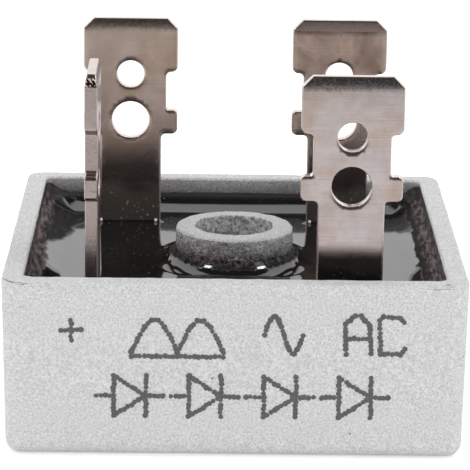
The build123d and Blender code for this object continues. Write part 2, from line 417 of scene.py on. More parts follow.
def hole_line(radius, level, count=56):
    """A clockwise circle, so that its left side is the metal."""
    angles = [-2 * math.pi * k / count for k in range(count)]
    return [Vector((radius * math.cos(a), level + radius * math.sin(a))) for a in angles]


def inset(line, distance):
    """The line moved into the metal on its left by a distance."""
    out = []
    for k, point in enumerate(line):
        a = (point - line[k - 1]).normalized()
        b = (line[(k + 1) % len(line)] - point).normalized()
        left = Vector((-a.y - b.y, a.x + b.x)).normalized()
        out.append(point + left * (distance / max(0.5, left.dot(Vector((-a.y, a.x))))))
    return out


def flat_sheet(loops, low, top, bevel_level):
    """Triangles over the blank inside its loops, with inner points so that it can bend and bevel."""
    points = [p for loop in loops for p in loop]
    edges = []
    start = 0
    for loop in loops:
        edges += [(start + k, start + (k + 1) % len(loop)) for k in range(len(loop))]
        start += len(loop)
    for z in np.arange(low + 0.15, top, GRID_Z):
        for x in np.arange(-3.1, 3.2, GRID_X):
            if abs(z - bevel_level) > 0.1 and all(clear_of(loop, Vector((x, z))) for loop in loops):
                points.append(Vector((x, z)))
    for z in (bevel_level - BEVEL_BLEND, bevel_level + BEVEL_BLEND):
        row = [Vector((x, z)) for x in np.linspace(-BEVEL_LINE_HALF, BEVEL_LINE_HALF, 24)]
        edges += [(len(points) + k, len(points) + k + 1) for k in range(len(row) - 1)]
        points += row
    result = delaunay_2d_cdt(points, edges, [], 1, 1e-7)
    verts, faces = result[0], result[2]
    keep = []
    for face in faces:
        middle = sum((verts[i] for i in face), Vector((0, 0))) / len(face)
        if inside(loops[0], middle) and not any(inside(hole, middle) for hole in loops[1:]):
            keep.append(tuple(face))
    return verts, keep


def clear_of(loop, point, gap=0.12):
    return min((point - q).length_squared for q in loop) > gap * gap


def inside(loop, point):
    odd = False
    for k, a in enumerate(loop):
        b = loop[k - 1]
        if (a.y > point.y) != (b.y > point.y):
            if point.x < (b.x - a.x) * (point.y - a.y) / (b.y - a.y) + a.x:
                odd = not odd
    return odd


def bend(x, v, s, bend_start, direction):
    """Carries a point of the flat blank, at v through its thickness, round the bend of the foot."""
    middle = BEND_RADIUS + TAB_THICKNESS / 2
    arc = middle * math.pi / 2
    run = bend_start - s
    if run <= 0:
        return (x, v * direction, s)
    turn = min(run, arc) / middle
    radius = middle - v
    y = middle - radius * math.cos(turn)
    z = bend_start - radius * math.sin(turn)
    return (x, direction * (y + max(run - arc, 0)), z)


def stamped_tab(name, place, turn, foot_level, direction, bevel, lift, materials):
    top = TAB_TOP + lift
    outer_radius = BEND_RADIUS + TAB_THICKNESS
    bend_start = foot_level + outer_radius
    flat_foot = bend_start - (BEND_RADIUS + TAB_THICKNESS / 2) * math.pi / 2 - (FOOT_LENGTH - outer_radius)
    edge_loops = [tab_outline(flat_foot, top), hole_line(SMALL_HOLE_RADIUS, top - SMALL_HOLE_DEPTH),
                  hole_line(LARGE_HOLE_RADIUS, top - LARGE_HOLE_DEPTH)]
    inner_loops = [inset(loop, EDGE_ROUND) for loop in edge_loops]
    sheet, triangles = flat_sheet(inner_loops, flat_foot, top, top - bevel)
    half = TAB_THICKNESS / 2
    flat = [(p.x, -half, p.y) for p in sheet] + [(p.x, half, p.y) for p in sheet]
    count = len(sheet)
    faces = [tuple(f) for f in triangles] + [tuple(count + i for i in reversed(f)) for f in triangles]
    middles = [sum(sheet[i].y for i in f) / 3 for f in triangles]
    slots = [BEVEL_SLOT if middle > top - bevel else FACE_SLOT for middle in middles] * 2
    rounding = [(-half + EDGE_ROUND * (1 - math.cos(t)), math.sin(t)) for t in quarter(3)[1:]]
    rounding += [(0.0, 1.0)] + [(-v, share) for v, share in reversed(rounding)]
    start = 0
    for edge, inner in zip(edge_loops, inner_loops):
        size = len(edge)
        rows = [[start + k for k in range(size)]]
        rows += [add_row(flat, edge, inner, v, share) for v, share in rounding]
        rows.append([count + start + k for k in range(size)])
        for r in range(len(rows) - 1):
            for k in range(size):
                n = (k + 1) % size
                faces.append((rows[r][n], rows[r][k], rows[r + 1][k], rows[r + 1][n]))
                slots.append(EDGE_SLOT)
        start += size
    shaped = [bend(x, thin_tip(v, top - s, bevel) * direction, s, bend_start, direction) for x, v, s in flat]
    turned = Matrix.Rotation(math.radians(turn), 3, "Z")
    points = [turned @ Vector(p) + Vector((*place, 0)) for p in shaped]
    weights = [1 if slot == EDGE_SLOT else SHEET_WEIGHT for slot in slots]
    return mesh_object(name, points, faces, materials, slots, weights)


def add_row(flat, edge, inner, v, share):
    first = len(flat)
    for outer_point, inner_point in zip(edge, inner):
        point = inner_point.lerp(outer_point, share)
        flat.append((point.x, v, point.y))
    return list(range(first, first + len(edge)))


def thin_tip(v, depth, bevel):
    """The sheet tapers over its last stretch, so that it slides into a receptacle."""
    share = min(max(1 - depth / bevel, 0), 1)
    return v * (1 - share * (1 - TIP_THICKNESS / TAB_THICKNESS))


# Each bead's place and radius; the white beads stand in for glints, as painted highlights
BEADS = ((-9.02, 8.62, 9.2, 0.11), (-5.3, 8.62, 9.2, 0.12), (5.23, 8.62, 9.2, 0.11))


def painted_glint_beads(material):
    """Small white beads at the feet of the rear tabs, standing in for glints: painted highlights."""
    points, faces = [], []
    rows, columns = 5, 10
    for x, y, z, radius in BEADS:
        first = len(points)
        for tilt in np.linspace(0.1, math.pi - 0.1, rows):
            for turn in np.linspace(0, 2 * math.pi, columns, endpoint=False):
                points.append((x + radius * math.sin(tilt) * math.cos(turn),
                               y + radius * math.sin(tilt) * math.sin(turn), z + radius * math.cos(tilt)))
        faces += [tuple(first + i for i in reversed(face))
                  for face in loft_faces(rows, columns, closed=False)]
        faces += [tuple(range(first, first + columns)),
                  tuple(first + (rows - 1) * columns + i for i in reversed(range(columns)))]
    return mesh_object("painted_glint_beads", points, faces, [material])


# Materials

def put(tree, target, value):
    if isinstance(value, bpy.types.NodeSocket):
        tree.links.new(value, target)
    else:
        target.default_value = value


def arithmetic(tree, operation, a, b=0.0, clamp=False):
    node = tree.nodes.new("ShaderNodeMath")
    node.operation = operation
    node.use_clamp = clamp
    put(tree, node.inputs[0], a)
    put(tree, node.inputs[1], b)
    return node.outputs[0]


def map_range(tree, value, low, high, to_low=0.0, to_high=1.0, interpolation="LINEAR"):
    node = tree.nodes.new("ShaderNodeMapRange")
    node.interpolation_type = interpolation
    put(tree, node.inputs["Value"], value)
    for key, number in zip(("From Min", "From Max", "To Min", "To Max"), (low, high, to_low, to_high)):
        node.inputs[key].default_value = number
    return node.outputs["Result"]


class Look:
    """A procedural material, with short calls for the nodes that it needs."""

    def __init__(self, name, **sockets):
        self.material = bpy.data.materials.new(name)
        self.material.use_nodes = True
        self.tree = self.material.node_tree
        self.fill(**sockets)
        coordinates = self.tree.nodes.new("ShaderNodeTexCoord")
        self.place = self.vector("SCALE", coordinates.outputs["Object"], scale=1 / MM)

    def put(self, target, value):
        put(self.tree, target, value)

    def fill(self, **sockets):
        for key, value in sockets.items():
            self.put(self.tree.nodes["Principled BSDF"].inputs[key.replace("_", " ")], value)

    def vector(self, operation, a, b=None, scale=None):
        node = self.tree.nodes.new("ShaderNodeVectorMath")
        node.operation = operation
        self.put(node.inputs[0], a)
        if b is not None:
            self.put(node.inputs[1], b)
        if scale is not None:
            node.inputs["Scale"].default_value = scale
        return node.outputs["Value" if operation == "LENGTH" else "Vector"]

    def math(self, *terms, clamp=False):
        return arithmetic(self.tree, *terms, clamp=clamp)

    def times(self, value, *others):
        for other in others:
            value = self.math("MULTIPLY", value, other)
        return value

    def most(self, value, *others):
        for other in others:
            value = self.math("MAXIMUM", value, other)
        return value

    def noise(self, scale, detail, rough, stretch=None, distortion=0.0):
        node = self.tree.nodes.new("ShaderNodeTexNoise")
        settings = {"Scale": scale, "Detail": detail, "Roughness": rough, "Distortion": distortion}
        for key, number in settings.items():
            node.inputs[key].default_value = number
        place = self.vector("MULTIPLY", self.place, stretch) if stretch else self.place
        self.put(node.inputs["Vector"], place)
        return node.outputs["Fac"]

    def cells(self, scale):
        node = self.tree.nodes.new("ShaderNodeTexVoronoi")
        node.inputs["Scale"].default_value = scale
        self.put(node.inputs["Vector"], self.place)
        return node.outputs["Distance"]

    def axis(self, letter):
        node = self.tree.nodes.new("ShaderNodeSeparateXYZ")
        self.put(node.inputs[0], self.place)
        return node.outputs[letter]

    def from_axis(self):
        """How far a point lies from the axis of the screw hole."""
        return self.vector("LENGTH", self.vector("MULTIPLY", self.place, (1, 1, 0)))

    def spread(self, *ends):
        """A value carried from a low and a high number to two others, which are 0 and 1 if left out."""
        return map_range(self.tree, *ends)

    def shifted(self, value, ripple, reach):
        """The value moved up or down by a noise, by up to about the reach."""
        return self.math("ADD", value, self.spread(ripple, 0.3, 0.7, -reach, reach))

    def mix(self, share, a, b):
        node = self.tree.nodes.new("ShaderNodeMix")
        node.data_type = "RGBA"
        self.put(node.inputs["Factor"], share)
        colours = [s for s in node.inputs if s.type == "RGBA"]
        for socket, value in zip(colours, (a, b)):
            self.put(socket, (*value, 1.0) if isinstance(value, tuple) else value)
        return [s for s in node.outputs if s.type == "RGBA"][0]

    def bump(self, height, depth, strength, normal=None):
        node = self.tree.nodes.new("ShaderNodeBump")
        node.inputs["Distance"].default_value = depth * MM
        self.put(node.inputs["Strength"], strength)
        self.put(node.inputs["Height"], height)
        if normal is not None:
            self.put(node.inputs["Normal"], normal)
        return node.outputs["Normal"]

    def finish(self, colour, roughness, normal, **sockets):
        self.fill(Base_Color=colour, Roughness=roughness, Normal=normal, **sockets)
        return self.material


def grey(level):
    return (level, level, level)


ALONG_WALL = (3.0, 0.8, 3.0)
SOAKED = (0.012, 0.011, 0.011)
# Brown for tarnish, also used for the painted shade under the bevel and on the head of the tabs
TARNISH_AND_PAINTED_SHADE = (0.10, 0.075, 0.065)


def cast_metal():
    """Blasted casting: fine grain with painted sparkle, a few dark nicks, and painted shade on the top faces
    of the rim and boss.
    """
    look = Look("cast_metal", Metallic=0.1)
    grain = look.noise(7.5, 4, 0.75)
    fine = look.noise(19.0, 2, 0.6)
    broad = look.noise(0.35, 2, 0.5)
    colour = look.mix(look.spread(grain, 0.38, 0.62), grey(0.60), grey(1.0))
    # The finest white specks are grain and painted sparkle.
    colour = look.mix(look.spread(fine, 0.58, 0.72), colour, grey(1.0))
    colour = look.mix(look.spread(broad, 0.25, 0.75, 0.0, 0.2), colour, grey(0.72))
    # Painted shade: the top faces of the rim and the boss are darkened, the boss top most.
    top = look.spread(look.axis("Z"), CASE_HEIGHT - 0.15, CASE_HEIGHT - 0.02)
    on_boss = look.spread(look.from_axis(), 6.0, 5.0)
    dull = look.times(top, look.spread(on_boss, 0, 1, 0.22, 0.62))
    colour = look.mix(dull, colour, look.mix(look.spread(grain, 0.35, 0.65), grey(0.30), grey(0.62)))
    colour = look.mix(look.spread(look.cells(0.55), 0.055, 0.035, 0.0, 0.8), colour, (0.16, 0.14, 0.13))

    # Scuffs at both ends of the printed face, along its upper edge
    scratch = look.noise(1.0, 2, 0.5, stretch=(1.1, 1.1, 13.0))
    scuffs = look.times(look.spread(scratch, 0.62, 0.68, 0.0, 0.75),
                        look.spread(look.axis("Z"), 10.65, 10.85),
                        look.spread(look.math("ABSOLUTE", look.axis("X")), 10.8, 12.6),
                        look.spread(look.axis("Y"), -13.2, -13.5))
    colour = look.mix(scuffs, colour, (0.14, 0.13, 0.125))
    relief = look.bump(fine, 0.05, 0.8, look.bump(grain, 0.14, 0.9))
    return look.finish(colour, look.spread(grain, 0.3, 0.7, 0.62, 0.42), relief)


def cast_inner():
    """The inside of the wall: grey at the back, darker lower down from epoxy film and painted shade, and
    purple brown at the sides where epoxy has run, with painted shade towards the back.
    """
    look = Look("cast_inner_wall", Metallic=0.1)
    mottle = look.noise(1.0, 4, 0.7, stretch=ALONG_WALL)
    grain = look.noise(7.0, 3, 0.65)
    rear = look.spread(look.axis("Y"), 12.2, 12.7)
    height = look.shifted(look.axis("Z"), mottle, 0.12)
    bare = look.mix(look.spread(grain, 0.35, 0.65), (0.42, 0.41, 0.43), (0.64, 0.63, 0.65))
    # Darker lower down on the rear wall: epoxy film and painted shade.
    low = look.mix(look.spread(grain, 0.35, 0.65), (0.13, 0.127, 0.13), (0.25, 0.245, 0.25))
    rear_wall = look.mix(look.spread(height, 11.0, 9.95), bare, low)
    stained = look.mix(look.spread(mottle, 0.44, 0.60), (0.018, 0.012, 0.013), (0.23, 0.19, 0.20))
    # Painted shade: the side walls darken towards the back corners.
    shaded = look.mix(look.spread(look.axis("Y"), 3.0, 9.0, 0.0, 0.8), stained, (0.028, 0.023, 0.024))
    side_wall = look.mix(look.spread(height, 11.15, 10.85), (0.24, 0.23, 0.23), shaded)
    return look.finish(look.mix(rear, side_wall, rear_wall), look.spread(mottle, 0.3, 0.7, 0.65, 0.4),
                       look.bump(grain, 0.12, 0.8, look.bump(mottle, 0.3, 0.6)))


def cast_boss():
    """Coarse casting with painted glints, darker and wetter towards the epoxy."""
    look = Look("cast_boss_side", Metallic=0.35)
    pits = look.noise(3.6, 5, 0.75)
    streak = look.noise(1.0, 4, 0.72, stretch=(4.4, 4.4, 9.0))
    height = look.shifted(look.axis("Z"), pits, 0.45)
    lower = look.spread(height, 10.9, 9.7)
    dry = look.mix(look.spread(streak, 0.38, 0.64), grey(0.34), grey(1.0))
    damp = look.mix(look.spread(streak, 0.42, 0.68), (0.045, 0.039, 0.040), (0.46, 0.42, 0.425))
    colour = look.mix(lower, dry, damp)
    # Bright specks: painted glints.
    colour = look.mix(look.spread(look.noise(8.0, 2, 0.6), 0.60, 0.70, 0.0, 0.6), colour, grey(0.95))
    rust = look.times(look.spread(look.noise(1.4, 3, 0.6), 0.46, 0.62, 0.0, 0.4),
                      look.spread(look.axis("X"), 1.0, -1.5))
    colour = look.mix(rust, colour, (0.26, 0.13, 0.12))
    soaked = look.spread(height, 9.75, 9.45)
    colour = look.mix(soaked, colour, SOAKED)
    return look.finish(colour, look.spread(lower, 0, 1, 0.5, 0.28),
                       look.bump(streak, 0.16, 0.9, look.bump(pits, 0.3, 0.9)))


def cast_hole():
    """The coarse wall of the screw hole, with painted glints."""
    look = Look("cast_hole_wall", Metallic=0.3)
    pits = look.noise(3.4, 5, 0.8)
    painted_glint = look.noise(5.0, 2, 0.5)
    colour = look.mix(look.spread(pits, 0.42, 0.60), grey(0.30), grey(1.0))
    # White specks: painted glints.
    colour = look.mix(look.spread(painted_glint, 0.62, 0.68), colour, grey(1.0))
    return look.finish(colour, 0.38, look.bump(pits, 0.3, 1.0))


FILM_EDGE = 12.15               # how far left the film's border lies at the front
SKIRT_ENDS = (4.27, 4.15)       # distances from the axis over which the skirt round the boss sets in
WET_SPOT = (1.72, 3.78, 0)      # a glossy break in the skirt, mirrored in X and Y


def black_epoxy():
    """Glossy black, with dust caught in it and a dull brown skin where it crept up the side walls."""
    look = Look("black_epoxy", IOR=1.75)
    x, y, z = (look.axis(letter) for letter in "XYZ")
    cloud = look.noise(0.5, 3, 0.5)
    mottle = look.noise(1.0, 4, 0.7, stretch=ALONG_WALL)
    soft = look.noise(1.0, 3, 0.6, stretch=(1.2, 0.7, 1.2))
    pits = look.noise(3.6, 4, 0.7)

    # Dust and finer grit, in clouds
    dust = look.times(look.spread(look.cells(1.7), 0.13, 0.07), look.spread(cloud, 0.42, 0.6))
    grit = look.times(look.spread(look.cells(4.5), 0.16, 0.1, 0.0, 0.4), look.spread(cloud, 0.38, 0.6))
    specks = look.most(dust, grit)
    colour = look.mix(specks, (0.006, 0.006, 0.0065), (0.17, 0.15, 0.11))

    # A dull film along the side walls, broader at the back of the left one, and a brown skin higher up
    sloped = look.times(look.math("SUBTRACT", y, LEVEL_AT), LEVEL_SLOPE)
    above = look.math("SUBTRACT", look.math("SUBTRACT", z, sloped), POTTING_LEVEL)
    height = look.shifted(look.shifted(above, mottle, 0.03), soft, 0.1)
    border = look.math("ADD", look.spread(y, 1.5, 5.0, 0.0, 1.3), look.spread(y, 7.0, 8.7))
    past = look.math("SUBTRACT", look.math("ADD", x, FILM_EDGE), look.shifted(border, soft, 0.2))
    left_film = look.times(look.spread(past, 0.12, -0.3), look.spread(y, 11.2, 10.2))
    right_film = look.times(look.spread(height, 0.40, 0.47), look.spread(x, 10.2, 10.6))
    film = look.most(left_film, right_film)
    dark_film = look.mix(look.spread(mottle, 0.5, 0.7), (0.010, 0.009, 0.009), (0.05, 0.042, 0.038))
    colour = look.mix(film, colour, dark_film)
    skin = look.times(look.spread(height, 0.62, 0.9), look.spread(look.math("ABSOLUTE", x), 10.2, 10.6))
    brown = look.mix(look.spread(mottle, 0.42, 0.60), (0.018, 0.013, 0.014), (0.20, 0.158, 0.156))
    colour = look.mix(skin, colour, brown)
    rear_haze = look.times(look.spread(above, 0.55, 0.8), look.spread(y, 11.2, 11.8, 0.0, 0.8))
    colour = look.mix(rear_haze, colour, (0.035, 0.034, 0.035))

    # A grey crust round the foot of the boss
    from_axis = look.from_axis()
    to_spot = look.vector("SUBTRACT", look.vector("ABSOLUTE", look.place), WET_SPOT)
    to_spot = look.vector("LENGTH", look.vector("MULTIPLY", to_spot, (1, 1.4, 0)))
    spot = look.spread(look.shifted(to_spot, pits, 0.2), 0.42, 0.32)
    skirt = look.spread(look.shifted(from_axis, pits, 0.09), *SKIRT_ENDS)
    skirt = look.math("SUBTRACT", skirt, spot, clamp=True)
    crust = look.mix(look.spread(pits, 0.42, 0.66), SOAKED, (0.15, 0.135, 0.135))
    crust = look.mix(look.spread(from_axis, 3.85, 4.15, 0.0, 0.8), crust, SOAKED)
    colour = look.mix(skirt, colour, crust)

    dull = look.most(film, skin, rear_haze, skirt)
    rough = look.most(look.spread(specks, 0, 1, 0.03, 0.45), look.spread(dull, 0, 1, 0.0, 0.6))
    relief = look.bump(mottle, 0.05, look.spread(dull, 0.5, 1, 0.02, 0.6))
    relief = look.bump(pits, 0.2, look.most(skirt, look.times(spot, 0.04)), relief)
    return look.finish(colour, rough, relief, Specular_IOR_Level=look.spread(dull, 0, 1, 0.72, 0.05))


# The levels above the foot of the bevel where the corner cut's streaks begin, are full, fade and end
CUT_BAND = (0.02, 0.06, 0.48, 0.52)


def nickel_edge(look, colour, bevel_level, burrs):
    """The sheared edge, streaked, and torn bright and dark at a corner cut that has burrs."""
    level = look.axis("Z")
    shear = look.noise(1.0, 5, 0.8, stretch=(1.6, 1.6, 7.0))
    across = look.math("ADD", look.axis("X"), look.axis("Y"))
    bars = look.times(look.math("SINE", look.times(across, 24.0)), 0.09)
    torn = look.math("ADD", look.noise(3.0, 3, 0.7), bars)
    begin, full, fade, end = (bevel_level + offset for offset in CUT_BAND)
    band = look.times(look.spread(level, end, fade), look.spread(level, begin, full))
    cut = look.times(look.spread(torn, 0.46, 0.50, 0.0, burrs), band)
    fresh = look.times(look.spread(torn, 0.46, 0.43, 0.0, 0.9 * burrs), band)
    marks = look.most(look.spread(shear, 0.55, 0.75, 0.0, 0.5), cut)
    colour = look.mix(marks, look.mix(0.4, colour, (0.80, 0.72, 0.69)), (0.15, 0.115, 0.10))
    return look.finish(colour, look.spread(shear, 0.3, 0.7, 0.24, 0.18), look.bump(shear, 0.03, 0.6),
                       Metallic=look.spread(fresh, 0, 1, 1.0, 0.2))


def nickel_bevel(look, height, bevel_level, light, shade):
    """The bevel at the tip, coined and worn, brighter at its foot."""
    cut = look.noise(9.0, 4, 0.75)
    bright = tuple(0.85 * channel for channel in light)
    dark = tuple(shade * channel for channel in light)
    worn = look.mix(look.spread(cut, 0.52, 0.72), dark, bright)
    low = look.spread(height, bevel_level + 0.25, bevel_level, 0.0, 0.5)
    return look.finish(look.mix(low, worn, bright), 0.4, look.bump(cut, 0.04, 0.8))


def nickel(name, zone, bevel_level, plate):
    """Nickel plate over stamped strip: fine drawn lines across the tab, brown bloom, painted shade under the
    bevel, on the head, down the stem and at the foot, and dirt grains at the foot.
    """
    look = Look(name, Metallic=1.0)
    level = look.axis("Z")
    drawn = look.noise(1.0, 3, 0.7, stretch=(0.5, 0.5, 14.0))
    bloom = look.noise(0.42, 4, 0.6, distortion=0.3)
    small = look.noise(3.2, 3, 0.65)
    colour = look.mix(look.spread(bloom, 0.36, 0.64, 0.0, plate.stained), plate.light, plate.stain)
    colour = look.mix(look.spread(small, 0.5, 0.8, 0.0, 0.3), colour, plate.stain)
    colour = look.mix(look.spread(drawn, 0.55, 0.8, 0.0, 0.3), colour, plate.stain)
    if zone == "edge":
        return nickel_edge(look, colour, bevel_level, plate.burrs)
    height = look.shifted(level, small, 0.08)
    if zone == "bevel":
        return nickel_bevel(look, height, bevel_level, plate.light, plate.bevel_shade)

    # Painted shade: the face is darkened just under the bevel and, by head_shade, over the head.
    painted_shade_near_bevel = look.spread(height, bevel_level - 0.38, bevel_level, 0.0, 0.8)
    head = look.spread(level, bevel_level - 2.6, bevel_level - 0.3, 0.0, plate.head_shade)
    colour = look.mix(look.most(painted_shade_near_bevel, head), colour, TARNISH_AND_PAINTED_SHADE)
    shade = look.noise(1.0, 3, 0.5, stretch=(0.12, 0.12, 0.5))
    colour = look.mix(look.spread(shade, 0.35, 0.65, 0.0, 0.15), colour, TARNISH_AND_PAINTED_SHADE)
    lines = look.noise(1.0, 2, 0.5, stretch=(0.25, 0.25, 26.0))
    colour = look.mix(look.spread(lines, 0.58, 0.68, 0.0, 0.22), colour, (0.16, 0.13, 0.12))
    cool = tuple(channel * share for channel, share in zip(plate.light, (0.88, 0.93, 1.0)))
    colour = look.mix(look.spread(look.noise(0.33, 2, 0.5), 0.46, 0.62, 0.0, 0.4), colour, cool)

    # Painted shade: the stem darkens towards the epoxy between the levels in stem_dark.
    dark_from, dark_to, darkness = plate.stem_dark
    stem = look.spread(look.shifted(level, bloom, 0.2), dark_from, dark_to, 0.0, darkness)
    colour = look.mix(stem, colour, (0.07, 0.062, 0.060))
    # Painted shade: the foot darkens to foot_grey towards the epoxy; the brown grains there are dirt.
    foot = look.spread(look.shifted(level, bloom, 0.5), 11.8, 10.6)
    painted_foot_shade = tuple(channel * plate.foot_grey for channel in (1.0, 0.9, 0.82))
    colour = look.mix(foot, colour, painted_foot_shade)
    grains = look.times(look.spread(look.cells(3.0), 0.34, 0.18), foot, look.spread(small, 0.42, 0.55),
                        look.spread(look.axis("Y"), 2.0, 6.0, 0.3, 1.0))
    colour = look.mix(grains, colour, (0.26, 0.18, 0.10))
    covered = look.most(grains, look.times(foot, 0.5))
    relief = look.bump(drawn, 0.006, 0.4, look.bump(small, 0.008, 0.25))
    dull = look.most(look.spread(bloom, 0.3, 0.7, plate.rough, plate.rough + 0.08),
                     look.spread(grains, 0, 1, 0.0, 0.6))
    return look.finish(colour, dull, relief, Metallic=look.spread(covered, 0, 1, 1.0, 0.0))


def simple_metal(name, light, dark, metallic, roughness):
    look = Look(name, Metallic=metallic)
    grain = look.noise(2.5, 4, 0.6)
    colour = look.mix(look.spread(grain, 0.3, 0.7), light, dark)
    rough = look.spread(grain, 0.3, 0.7, roughness, roughness + 0.12)
    return look.finish(colour, rough, look.bump(grain, 0.02, 0.4))


def print_ink():
    look = Look("print_ink")
    grain = look.noise(9.0, 3, 0.6)
    colour = look.mix(look.spread(grain, 0.35, 0.7), (0.075, 0.075, 0.078), (0.14, 0.14, 0.145))
    return look.finish(colour, look.spread(grain, 0.3, 0.7, 0.5, 0.7), look.bump(grain, 0.03, 0.5))


# The print: generic signs in round dots of ink on the front face

PITCH = 0.26
DOT = 0.17
INK_LIFT = 0.02         # how far the ink stands off the face
INK_CROWN = 0.006       # a dot's middle stands this much further out, and its rim this much less
INK_DROOP = 0.004
STRAY = 0.035


def stroke(*corners):
    """Dots at an even pitch along a line of corners, in millimetres on the face."""
    dots = []
    for (x0, z0), (x1, z1) in zip(corners, corners[1:]):
        count = max(1, round(math.hypot(x1 - x0, z1 - z0) / PITCH))
        dots += [(x0 + (x1 - x0) * k / count, z0 + (z1 - z0) * k / count) for k in range(count + 1)]
    return dots


def wave(x, z, width, height, lobes, rectified=False):
    """Lobes of a sine about the level z, all upwards where rectified."""
    steps = 7 * lobes
    line = []
    for k in range(steps + 1):
        rise = math.sin(math.pi * lobes * k / steps)
        line.append((x + width * k / steps, z + height * (abs(rise) if rectified else rise)))
    return stroke(*line)


def diode(x, z, width, height):
    """A triangle that points at a bar, with a lead at each side."""
    left, right = x + 0.26 * width, x + 0.74 * width
    low, middle, high = z, z + height / 2, z + height
    dots = stroke((x, middle), (left, middle)) + stroke((right, middle), (x + width, middle))
    dots += stroke((left, low), (left, high), (right, middle), (left, low))
    return dots + stroke((right, low), (right, high))


def face_y(z):
    return -(BASE_HALF + z * OUTER_DRAFT)


def ink_print(dots, material):
    rng = random.Random(7)
    points, faces = [], []
    sides = 10
    for x, z in dots:
        x += rng.uniform(-STRAY, STRAY)
        z += rng.uniform(-STRAY, STRAY)
        radius = DOT * rng.uniform(0.86, 1.12)
        first = len(points)
        points.append((x, face_y(z) - INK_LIFT - INK_CROWN, z))
        for k in range(sides):
            angle = 2 * math.pi * k / sides
            reach = radius * rng.uniform(0.88, 1.1)
            px, pz = x + reach * math.cos(angle), z + reach * math.sin(angle)
            points.append((px, face_y(pz) - INK_LIFT + INK_DROOP, pz))
        for k in range(sides):
            faces.append((first, first + 1 + k, first + 1 + (k + 1) % sides))
    return mesh_object("ink_print", points, faces, [material])


def all_signs():
    plus = stroke((-10.6, 8.11), (-9.38, 8.13)) + stroke((-9.99, 8.76), (-9.99, 7.48))
    letter_a = stroke((6.80, 6.78), (6.69, 8.70), (6.99, 8.95), (7.29, 9.25), (7.65, 9.25), (7.90, 8.93),
                      (8.22, 8.59), (8.32, 6.79)) + stroke((6.77, 7.74), (8.30, 7.76))
    letter_c = stroke((10.28, 8.80), (10.03, 9.12), (9.05, 9.17), (8.81, 8.98), (8.91, 6.80),
                      (10.10, 6.78), (10.42, 7.14))
    half_waves = wave(-6.3, 6.75, 5.6, 2.1, 2, rectified=True) + stroke((-6.3, 6.5), (-0.7, 6.5))
    dots = plus + letter_a + letter_c + half_waves + wave(1.8, 7.95, 2.35, 1.2, 2)
    for k in range(4):
        dots += diode(-8.45 + 4.6 * k, 2.65, 4.1, 2.6)
    return dots


# Build every piece

case_piece = cast_case([cast_metal(), cast_inner(), cast_boss(), cast_hole()])
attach(case_piece, "root")
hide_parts("case")

epoxy_piece = epoxy_pour([black_epoxy()])
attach(epoxy_piece, "root")
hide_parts("epoxy_potting")

# Each tab's plate: clean and stained colour, how far the stain goes, painted shade at the head, roughness,
# the levels where the painted shade on its stem starts and ends and how dark it gets, how grey the
# painted shade at its foot is, how bright the bevel stays, and how far its corner cuts are torn
Plate = namedtuple("Plate", "light stain stained head_shade rough stem_dark foot_grey bevel_shade burrs")
PLATES = {
    "positive": Plate((0.58, 0.455, 0.43), (0.46, 0.34, 0.30), 0.7, 0.0, 0.18,
                      (11.5, 9.6, 0.72), 0.09, 0.30, 1.0),
    "negative": Plate((0.82, 0.655, 0.58), (0.36, 0.25, 0.19), 0.75, 0.0, 0.26,
                      (14.9, 13.0, 0.72), 0.095, 0.75, 0.0),
    "ac_front": Plate((0.92, 0.83, 0.81), (0.76, 0.56, 0.47), 0.8, 0.26, 0.16,
                      (12.4, 11.5, 0.93), 0.02, 0.15, 0.0),
    "ac_rear": Plate((0.86, 0.70, 0.63), (0.66, 0.49, 0.38), 0.9, 0.08, 0.26,
                     (14.9, 13.0, 0.76), 0.095, 0.26, 0.0),
}

for tab_name, tab_sizes in TABS.items():
    tip_bevel = TAB_TOP + tab_sizes.lift - tab_sizes.bevel
    plates = [nickel("nickel_%s_%s" % (tab_name, zone), zone, tip_bevel, PLATES[tab_name])
              for zone in ("face", "edge", "bevel")]
    tab = stamped_tab("tab_" + tab_name, *tab_sizes, plates)
    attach(tab, "root")
    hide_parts("terminal_" + tab_name)

ink = ink_print(all_signs(), print_ink())
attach(ink, "root")

# White beads as painted highlights at the feet of the rear tabs
beads = painted_glint_beads(simple_metal("painted_glint_white", (0.95, 0.95, 0.93), (0.80, 0.79, 0.76), 0.0, 0.2))
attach(beads, "root")

INNER_LOOKS = {
    "copper": simple_metal("copper_strip", (0.80, 0.42, 0.26), (0.55, 0.27, 0.16), 1.0, 0.3),
    "ceramic": simple_metal("alumina", (0.82, 0.81, 0.77), (0.72, 0.71, 0.68), 0.0, 0.5),
    "bond": simple_metal("bond_layer", (0.55, 0.55, 0.52), (0.42, 0.42, 0.40), 0.0, 0.6),
    "silicon": simple_metal("silicon_wafer", (0.14, 0.14, 0.16), (0.09, 0.09, 0.11), 0.3, 0.2),
    "solder": simple_metal("solder_alloy", (0.62, 0.62, 0.63), (0.45, 0.45, 0.47), 1.0, 0.35),
}
NODE_LOOK = (("insulator_bond", "bond"), ("ceramic_insulator", "ceramic"), ("diode_die", "silicon"),
             ("lower_solder", "solder"), ("upper_solder", "solder"), ("foot_solder", "solder"),
             ("positive_plate", "copper"), ("negative_plate", "copper"), ("ac_strap", "copper"))
for node_name, node_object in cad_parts.items():
    for start, look_name in NODE_LOOK:
        if node_name.startswith(start):
            node_object.data.materials.clear()
            node_object.data.materials.append(INNER_LOOKS[look_name])


# Floor, sky and lamps

CEILING = (0.875, 0.852)        # how steeply up a direction points where the dark ceiling sets in
BACKDROP = 1.06
GLOOM = 0.035                   # what reflections see of the ceiling and the front


def smooth_step(tree, *ends):
    return map_range(tree, *ends, interpolation="SMOOTHSTEP")


def pick_shader(tree, share, a, b):
    node = tree.nodes.new("ShaderNodeMixShader")
    for socket, value in zip(node.inputs, (share, a, b)):
        tree.links.new(value, socket)
    return node.outputs[0]


